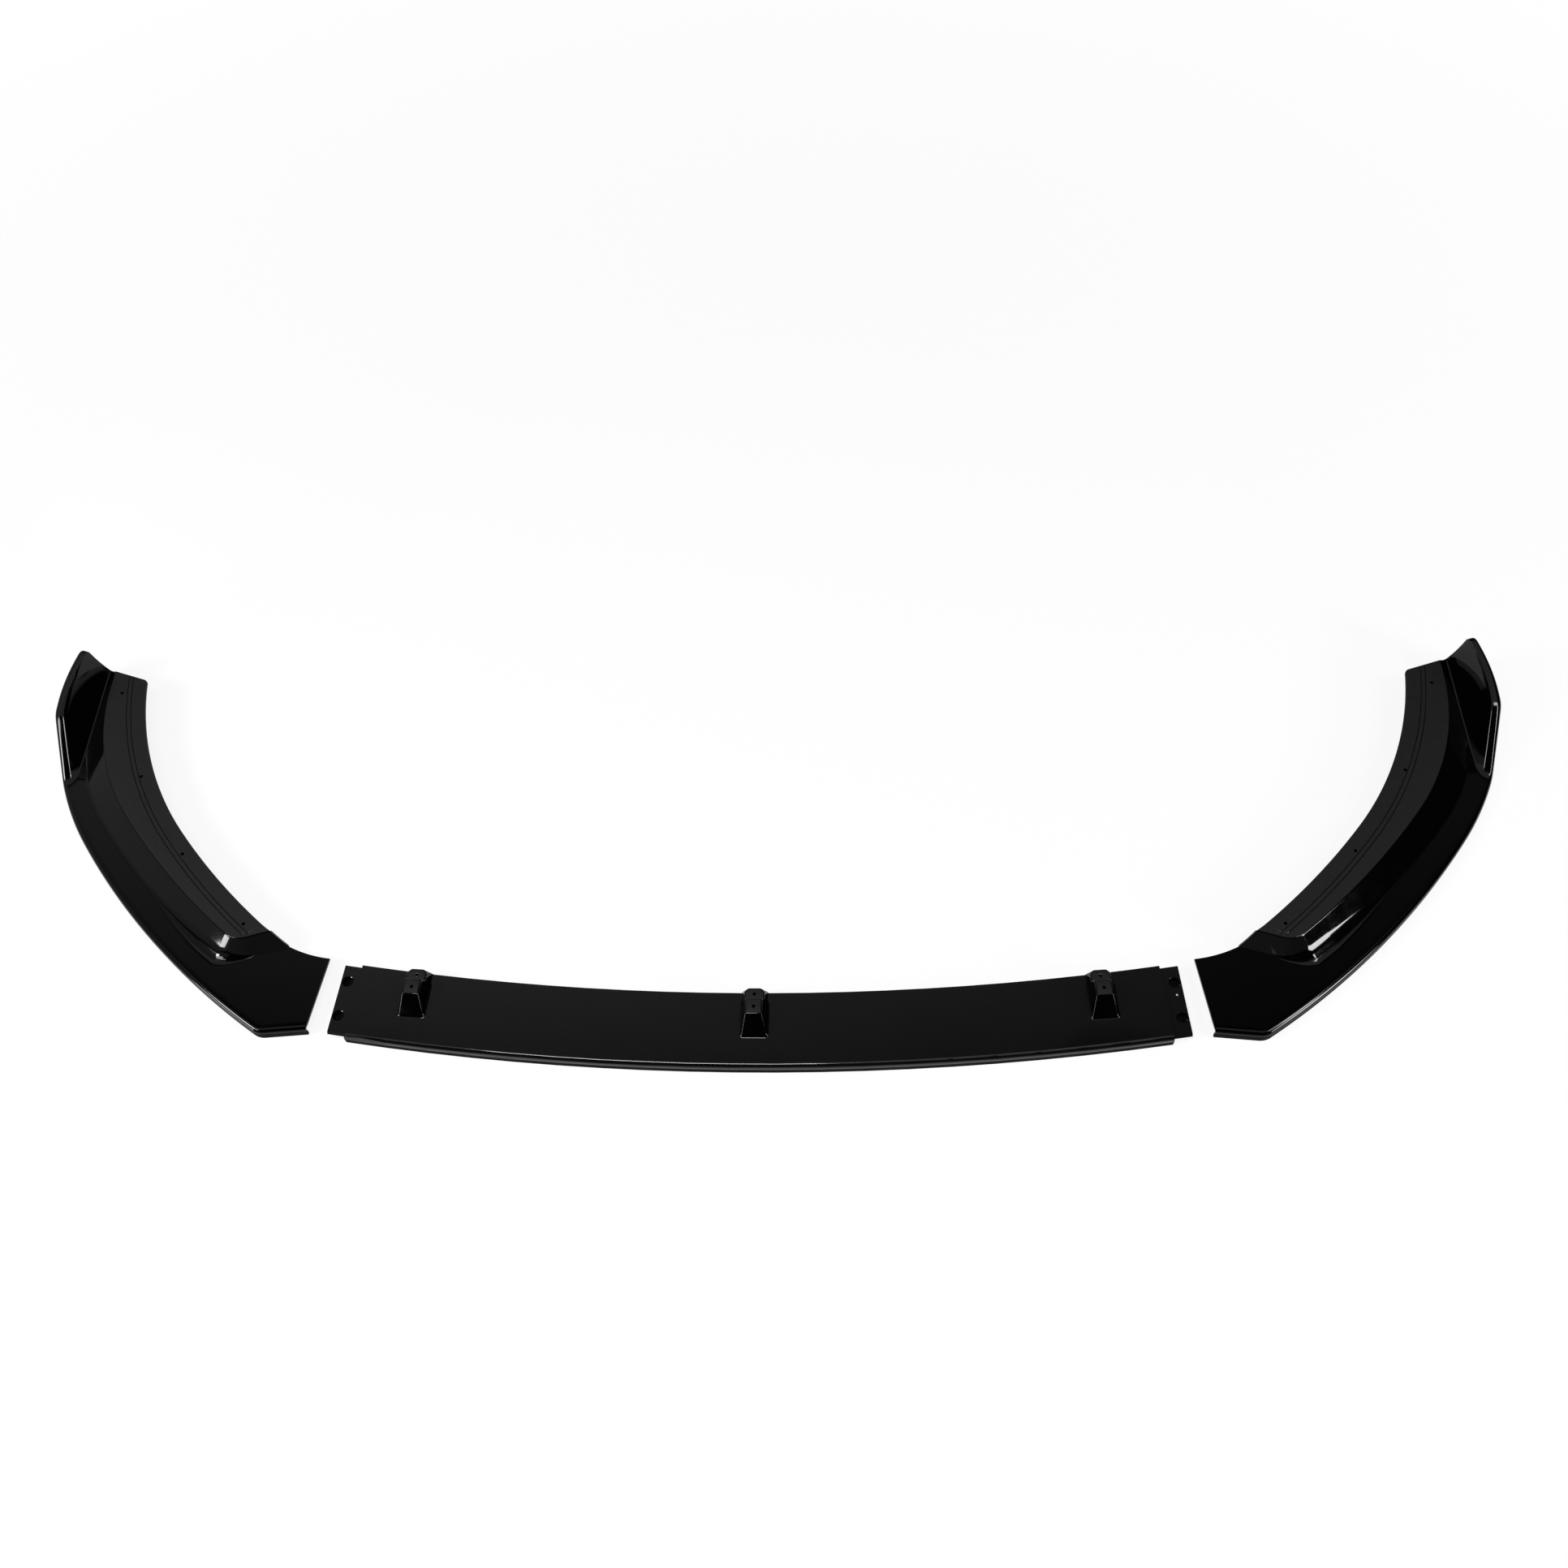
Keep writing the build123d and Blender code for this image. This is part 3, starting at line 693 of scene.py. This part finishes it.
def upright_drills(places):
    """Upright drills through places given in millimetres."""
    work = bmesh.new()
    for place in places:
        shift = Matrix.Translation(Vector(place) * MM)
        bmesh.ops.create_cone(work, segments=DRILL_SIDES, radius1=HOLE / 2 * MM, radius2=HOLE / 2 * MM,
                              depth=DRILL_LENGTH, cap_ends=True, matrix=shift)
    mesh = bpy.data.meshes.new("drills")
    work.to_mesh(mesh)
    work.free()
    tool = bpy.data.objects.new("drills", mesh)
    scene.collection.objects.link(tool)
    return tool


def plain_mesh(piece):
    """Turns an object and its modifiers into one plain mesh."""
    made = bpy.data.meshes.new_from_object(piece.evaluated_get(bpy.context.evaluated_depsgraph_get()))
    piece.modifiers.clear()
    piece.data = made
    return made


def drilled(piece, places, lowest=0.0):
    """Cuts screw holes, makes a plain mesh that stays above a height and marks its sharp edges."""
    tool = upright_drills(places)
    cut = piece.modifiers.new("cut", "BOOLEAN")
    cut.object = tool
    cut.operation = "DIFFERENCE"
    cut.solver = "EXACT"
    made = plain_mesh(piece)
    bpy.data.objects.remove(tool)
    for vertex in made.vertices:
        vertex.co.z = max(vertex.co.z, lowest)
    made.set_sharp_from_angle(angle=SHARP)


for (node, piece), side in zip(wings.items(), (1, -1)):
    drilled(piece, flange_screws(side))
    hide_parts(node)
    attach(piece, "root")
    print(piece.name, len(piece.data.polygons), "faces")

# %% [markdown]
# ## The centre section's blade
# The blade is a plain bowed plate with a rounded leading edge and a tongue with two sockets at each
# end. The CAD node has that shape already, as a cloud of loose triangles. A copy is merged, the faces
# of its screw towers are taken away, because better ones follow, and its normals are weighted by area,
# so that the big faces stay flat and the rounded edges shade smoothly. The low skirt and the floors of
# the sockets get the black that mirrors almost nothing: painted shade, so that the sockets look deep.

# %% Merge the blade
BLADE_SHARP = math.radians(25)
CLEAR_OF_PLATE, SKIRT_BELOW, SOCKET_BELOW = 0.05, 5.5, 0.3
FACES_UP, FACES_ASIDE = 0.9, 0.2
blade_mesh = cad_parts["centre_section"].data.copy()
blade_mesh.materials.clear()
# Slot 0 is the lighter black with a painted reflection, slot 1 the black of painted shade.
for finish in (sheen_painted, shade_painted):
    blade_mesh.materials.append(finish)
work = bmesh.new()
work.from_mesh(blade_mesh)
bmesh.ops.remove_doubles(work, verts=work.verts, dist=1e-5)
tower_faces = [face for face in work.faces
               if max(v.co.z for v in face.verts) > (PLATE_TOP + CLEAR_OF_PLATE) * MM]
bmesh.ops.delete(work, geom=tower_faces, context="FACES")
for face in work.faces:
    face.smooth = True
    highest = max(v.co.z for v in face.verts)
    # Painted shade: the skirt and the socket floors get a black that mirrors almost nothing.
    skirt = highest < (PLATE_TOP - SKIRT_BELOW) * MM and abs(face.normal.z) < FACES_ASIDE
    shade_painted_floor = highest < (PLATE_TOP - WALL - SOCKET_BELOW) * MM and face.normal.z > FACES_UP
    face.material_index = 1 if shade_painted_floor or skirt else 0
for edge in work.edges:
    edge.smooth = len(edge.link_faces) == 2 and edge.calc_face_angle() < BLADE_SHARP
work.to_mesh(blade_mesh)
work.free()
blade = bpy.data.objects.new("centre_section_skin", blade_mesh)
scene.collection.objects.link(blade)
even = blade.modifiers.new("even", "WEIGHTED_NORMAL")
even.keep_sharp = True
even.weight = 100
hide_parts("centre_section")
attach(blade, "root")
print(blade.name, len(blade_mesh.polygons), "faces")

# %% [markdown]
# ## The body of a screw tower
# A tower has a sloped front, a top that steps down towards the back, and back corners that are cut
# off. It could be a cube that is pushed into shape. Here it is a polyhedron made from its side view, so
# that every size has a name, and a Bevel rounds its outer edges, which catch the thin white lines.

# %% Shape the body
TOWER_TOP, TOWER_SHELF, TOWER_DEPTH = 20.5, 12.5, 54.0
FRONT_RUN, TOP_END, SHELF_START = 19.3, 38.0, 40.5
FOOT_HALF, TOP_HALF = 14.7, 9.5
BACK_CUT, TOWER_EDGE, EDGE_SEGMENTS = 5.0, 1.5, 4
FLARE_RISE, FLARE_FADE, FLARE_STOP = 2.4, 40.0, 47.0


def half_width(height):
    """Half the tower's width at a height."""
    return FOOT_HALF + (TOP_HALF - FOOT_HALF) * height / TOWER_TOP


def tower_body(work):
    """Faces of the tower above its flare, in millimetres, with rounded edges."""
    outline = [(FRONT_RUN * FLARE_RISE / TOWER_TOP, FLARE_RISE), (FRONT_RUN, TOWER_TOP), (TOP_END, TOWER_TOP),
               (SHELF_START, TOWER_SHELF), (TOWER_DEPTH - BACK_CUT, TOWER_SHELF), (TOWER_DEPTH, FLARE_RISE),
               (FLARE_STOP, FLARE_RISE), (FLARE_FADE, FLARE_RISE)]
    right_side = [work.verts.new((half_width(z), y, z)) for y, z in outline]
    left_side = [work.verts.new((-half_width(z), y, z)) for y, z in outline]
    back = half_width(TOWER_SHELF) - BACK_CUT
    back_right, back_left = (work.verts.new((x, TOWER_DEPTH, TOWER_SHELF)) for x in (back, -back))
    for k in range(3):
        work.faces.new((left_side[k], right_side[k], right_side[k + 1], left_side[k + 1]))
    work.faces.new((left_side[3], right_side[3], right_side[4], back_right, back_left, left_side[4]))
    work.faces.new((back_left, back_right, right_side[5], left_side[5]))
    work.faces.new((right_side[4], right_side[5], back_right))
    work.faces.new((left_side[4], back_left, left_side[5]))
    work.faces.new([right_side[k] for k in (0, 7, 6, 5, 4, 3, 2, 1)])
    work.faces.new(left_side)
    work.normal_update()
    turning = [edge for edge in work.edges if len(edge.link_faces) == 2 and edge.is_convex]
    bmesh.ops.bevel(work, geom=turning, offset=TOWER_EDGE, segments=EDGE_SEGMENTS, profile=0.5,
                    affect="EDGES", clamp_overlap=True, loop_slide=True)
    work.normal_update()


work = bmesh.new()
tower_body(work)
print("tower body", len(work.faces), "faces")

# %% [markdown]
# ## The flare at its foot
# The foot of a tower flares out into the blade, and that small hollow radius catches white dots at the
# corners. A Bevel can't make it, because tower and blade are two meshes. The flare is a row of rings
# along a bent curve, from the wall to the blade. It fades out towards the back, where the wall drops
# straight down behind the blade's edge.

# %% Flare the foot
FLARE_OUT, BACK_DROP = 3.0, 3.0
JUST_UNDER, SUNK, TUCK_OUT = 0.06, 0.4, 0.2
BACK_START, BACK_SPREAD, BACK_EASE = 0.2, 0.5, 0.5
FLARE_RINGS = 7
WIDE_FACE = 30


def flare_rings(work):
    """Rings that carry the tower's foot out into the blade."""
    rim = [edge for edge in work.edges if edge.is_boundary]
    loop = [rim[0].verts[0]]
    while len(loop) < len(rim):
        around = [edge.other_vert(loop[-1]) for edge in loop[-1].link_edges if edge.is_boundary]
        loop.append(next(vert for vert in around if vert not in loop[-2:]))
    rings = [loop] + [[] for _ in range(FLARE_RINGS + 1)]
    for vert in loop:
        widest = max(vert.link_faces, key=lambda face: face.calc_area())
        normal = widest.normal if widest.calc_area() > WIDE_FACE else vert.normal
        slope = math.hypot(normal.x, normal.y)
        out = Vector((normal.x, normal.y, 0)) / slope
        fading = (vert.co.y - FLARE_FADE) / (FLARE_STOP - FLARE_FADE)
        behind = min(1.0, max(0.0, (out.y - BACK_START) / BACK_SPREAD, fading))
        low = -JUST_UNDER - (BACK_DROP - JUST_UNDER) * behind
        fall = out * normal.z / slope - Vector((0, 0, 1))
        foot = vert.co + fall * (FLARE_RISE - low * (1 - BACK_EASE * behind))
        end = Vector((foot.x, foot.y, low)) + out * FLARE_OUT * (1 - behind)
        for k in range(1, FLARE_RINGS + 1):
            t = k / FLARE_RINGS
            rings[k].append(work.verts.new(vert.co * (1 - t) ** 2 + foot * 2 * t * (1 - t) + end * t * t))
        rings[-1].append(work.verts.new(end - Vector((0, 0, SUNK)) + out * TUCK_OUT * (1 - behind)))
    for lower, upper in zip(rings[1:], rings[:-1]):
        for k in range(len(loop)):
            m = (k + 1) % len(loop)
            work.faces.new((upper[k], lower[k], lower[m], upper[m]))


flare_rings(work)
bmesh.ops.recalc_face_normals(work, faces=work.faces)
if max(work.faces, key=lambda face: face.calc_center_median().z).normal.z < 0:
    bmesh.ops.reverse_faces(work, faces=work.faces)
bmesh.ops.scale(work, vec=(MM, MM, MM), verts=work.verts)
for face in work.faces:
    face.smooth = True
tower_mesh = bpy.data.meshes.new("tower")
tower_mesh.materials.append(gloss)
work.to_mesh(tower_mesh)
work.free()
print("tower with its flare", len(tower_mesh.polygons), "faces")

# %% [markdown]
# ## A hollow tower with two screw holes
# A moulded tower is hollow, and its wall shows in the screw holes. Solidify gives it that wall, and the
# drills of the flanges cut the holes in its top and in its shelf.

# %% Give the tower its wall and holes
TOWER_WALL, TOWER_LOWEST = 1.5, -1.0
SCREW_PLACES = (28.4, 46.5)
tower = bpy.data.objects.new("tower", tower_mesh)
scene.collection.objects.link(tower)
skin = tower.modifiers.new("wall", "SOLIDIFY")
skin.thickness = TOWER_WALL * MM
skin.offset = -1
drilled(tower, [(0, y, TOWER_TOP) for y in SCREW_PLACES], lowest=TOWER_LOWEST)
print("one tower", len(tower.data.polygons), "faces")

# %% [markdown]
# ## Node trees in a script
# Geometry Nodes are usually wired by hand in their editor. A script has to add every node, set it and
# link it, and four small helpers keep that to one line for each node. The modifier's sizes are set by
# the identifiers of the tree's sockets, and the result is turned into a plain mesh.

# %% Helpers that build node trees
def new_tree(name, inputs):
    """A node tree with one geometry output, and the identifiers of its named inputs."""
    tree = bpy.data.node_groups.new(name, "GeometryNodeTree")
    tree.interface.new_socket("Geometry", in_out="OUTPUT", socket_type="NodeSocketGeometry")
    keys = {}
    for label, kind in inputs:
        socket = tree.interface.new_socket(label, in_out="INPUT", socket_type="NodeSocket" + kind)
        keys[label] = socket.identifier
    return tree, keys


def put(tree, kind, **inputs):
    """Adds a node, sets its properties (in small letters) and links or sets its inputs (I0 is the first)."""
    node = tree.nodes.new(kind)
    for label, value in inputs.items():
        if label.islower():
            setattr(node, label, value)
    for label, value in inputs.items():
        if label.islower():
            continue
        socket = node.inputs[int(label[1:])] if label[1:].isdigit() else node.inputs[label.replace("_", " ")]
        if isinstance(value, bpy.types.NodeSocket):
            tree.links.new(value, socket)
        else:
            socket.default_value = value
    return node.outputs


def math_node(tree, operation, first, second):
    """Output of a Math node."""
    return put(tree, "ShaderNodeMath", operation=operation, I0=first, I1=second)[0]


def grown(name, tree, keys, values):
    """A plain mesh object grown by a node tree from its named sizes."""
    piece = bpy.data.objects.new(name, bpy.data.meshes.new(name))
    scene.collection.objects.link(piece)
    nodes = piece.modifiers.new("nodes", "NODES")
    nodes.node_group = tree
    for label, value in values.items():
        nodes[keys[label]] = value
    plain_mesh(piece)
    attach(piece, "root")
    return piece


print("helpers", [helper.__name__ for helper in (new_tree, put, math_node, grown)])

# %% [markdown]
# ## Three towers in a row
# The towers are one moulding three times: one in the middle and one at each side, further back and
# leaning outwards. They could be placed by hand. Geometry Nodes set them out from named sizes, so that
# a change of the row is a change of one number. The flat tops get the satin finish by the direction of
# their faces.

# %% Set the towers out
FRAME_BACK = 274.7105
TOWER_SPACING, TOWER_LEAN = 395.0, 4
MIDDLE_PLACE, SIDE_PLACE = 37.0, 60.4
FLAT_TOP = 0.995
ROW_INPUTS = (("Tower", "Object"), ("Spacing", "Float"), ("Middle Place", "Float"), ("Side Place", "Float"),
              ("Base Height", "Float"), ("Lean", "Float"), ("Satin Height", "Float"), ("Gloss", "Material"),
              ("Satin", "Material"))
tree, keys = new_tree("tower_row", ROW_INPUTS)
given = put(tree, "NodeGroupInput")
line = put(tree, "GeometryNodeMeshLine", mode="OFFSET", count_mode="TOTAL", Count=3)[0]
number = put(tree, "GeometryNodeInputIndex")[0]
side = math_node(tree, "SUBTRACT", number, 1.0)
across = math_node(tree, "MULTIPLY", side, given["Spacing"])
further = math_node(tree, "SUBTRACT", given["Side Place"], given["Middle Place"])
back = math_node(tree, "MULTIPLY", math_node(tree, "ABSOLUTE", side, 0.0), further)
behind = math_node(tree, "ADD", back, given["Middle Place"])
spot = put(tree, "ShaderNodeCombineXYZ", X=across, Y=behind, Z=given["Base Height"])[0]
placed = put(tree, "GeometryNodeSetPosition", Geometry=line, Position=spot)[0]
turn = put(tree, "ShaderNodeCombineXYZ", Z=math_node(tree, "MULTIPLY", side, given["Lean"]))[0]
source = put(tree, "GeometryNodeObjectInfo", Object=given["Tower"])["Geometry"]
copies = put(tree, "GeometryNodeInstanceOnPoints", Points=placed, Instance=source, Rotation=turn)[0]
real = put(tree, "GeometryNodeRealizeInstances", Geometry=copies)[0]
black = put(tree, "GeometryNodeSetMaterial", Geometry=real, Material=given["Gloss"])[0]
facing = put(tree, "ShaderNodeSeparateXYZ", Vector=put(tree, "GeometryNodeInputNormal")[0])["Z"]
height = put(tree, "ShaderNodeSeparateXYZ", Vector=put(tree, "GeometryNodeInputPosition")[0])["Z"]
flat = math_node(tree, "GREATER_THAN", facing, FLAT_TOP)
high = math_node(tree, "GREATER_THAN", height, given["Satin Height"])
tops = math_node(tree, "MULTIPLY", flat, high)
topped = put(tree, "GeometryNodeSetMaterial", Geometry=black, Selection=tops, Material=given["Satin"])[0]
put(tree, "NodeGroupOutput", Geometry=topped)

row_sizes = {"Tower": tower, "Spacing": TOWER_SPACING * MM, "Middle Place": (MIDDLE_PLACE - FRAME_BACK) * MM,
             "Side Place": (SIDE_PLACE - FRAME_BACK) * MM, "Base Height": PLATE_TOP * MM,
             "Lean": math.radians(TOWER_LEAN), "Satin Height": (PLATE_TOP + TOWER_SHELF - 1) * MM,
             "Gloss": gloss, "Satin": satin}
towers = grown("screw_towers", tree, keys, row_sizes)
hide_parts("centre_section")
bpy.data.objects.remove(tower)
print(towers.name, len(towers.data.polygons), "faces", [m.name for m in towers.data.materials])

# %% [markdown]
# ## Cups of painted shade
# Under a screw hole the floor lies in shade, and a dark cup is put there as painted shade: from above
# only its dark bore is seen. A cylinder with a hole would do; here the wall and the floor of a small cup
# are one section that is spun round, like a Spin or a Screw modifier would do it.

# %% Spin one cup
CUP_BORE, CUP_OUT, CUP_DEPTH, CUP_FLOOR, CUP_SIDES = 2.1, 3.6, 9.0, 1.0, 24
section = [(0, -CUP_DEPTH), (CUP_OUT, -CUP_DEPTH), (CUP_OUT, 0), (CUP_BORE, 0),
           (CUP_BORE, CUP_FLOOR - CUP_DEPTH), (0, CUP_FLOOR - CUP_DEPTH)]
work = bmesh.new()
rings = []
for k in range(CUP_SIDES):
    way = compass(360 * k / CUP_SIDES)
    rings.append([work.verts.new((r * way[0] * MM, r * way[1] * MM, z * MM)) for r, z in section])
for ring, after in zip(rings, rings[1:] + rings[:1]):
    for a in range(len(section) - 1):
        work.faces.new((ring[a], after[a], after[a + 1], ring[a + 1]))
bmesh.ops.remove_doubles(work, verts=work.verts, dist=1e-6)
bmesh.ops.recalc_face_normals(work, faces=work.faces)
cup_mesh = bpy.data.meshes.new("cup")
cup_mesh.materials.append(satin)
work.to_mesh(cup_mesh)
work.free()
cup = bpy.data.objects.new("cup", cup_mesh)
scene.collection.objects.link(cup)
print("one cup", len(cup_mesh.polygons), "faces")

# %% [markdown]
# ## A cup under the holes
# The same cup sits under every hole of the flanges and towers, apart from the rear holes of the two side
# towers. The places of the holes become the points of a small mesh, and Geometry Nodes put a cup on each
# point.

# %% Put the cups under the holes
CUP_OVERLAP = 0.2
spots = []
for side in (1, -1):
    for x, y, z in flange_screws(side):
        spots.append((x * MM, y * MM, (z - WALL + CUP_OVERLAP) * MM))
for side in (-1, 0, 1):
    lean = math.radians(TOWER_LEAN * side)
    start = (SIDE_PLACE if side else MIDDLE_PLACE) - FRAME_BACK
    for y, z in zip(SCREW_PLACES, (TOWER_TOP, TOWER_SHELF)):
        if side and y == SCREW_PLACES[1]:
            continue
        spot = Vector((side * TOWER_SPACING - y * math.sin(lean), start + y * math.cos(lean)))
        spots.append((spot.x * MM, spot.y * MM, (PLATE_TOP + z - TOWER_WALL + CUP_OVERLAP) * MM))
spot_mesh = bpy.data.meshes.new("screw_spots")
spot_mesh.from_pydata(spots, [], [])
screw_spots = bpy.data.objects.new("screw_spots", spot_mesh)
scene.collection.objects.link(screw_spots)

tree, keys = new_tree("screw_cups", (("Spots", "Object"), ("Cup", "Object"), ("Finish", "Material")))
given = put(tree, "NodeGroupInput")
points = put(tree, "GeometryNodeObjectInfo", Object=given["Spots"])["Geometry"]
source = put(tree, "GeometryNodeObjectInfo", Object=given["Cup"])["Geometry"]
copies = put(tree, "GeometryNodeInstanceOnPoints", Points=points, Instance=source)[0]
real = put(tree, "GeometryNodeRealizeInstances", Geometry=copies)[0]
finished = put(tree, "GeometryNodeSetMaterial", Geometry=real, Material=given["Finish"])[0]
put(tree, "NodeGroupOutput", Geometry=finished)
# Painted shade: the cups keep the holes dark where the floor under the moulding lies in shade.
cups = grown("screw_cups", tree, keys, {"Spots": screw_spots, "Cup": cup, "Finish": satin})
bpy.data.objects.remove(cup)
bpy.data.objects.remove(screw_spots)
print(cups.name, len(cups.data.polygons), "faces under", len(spots), "holes")
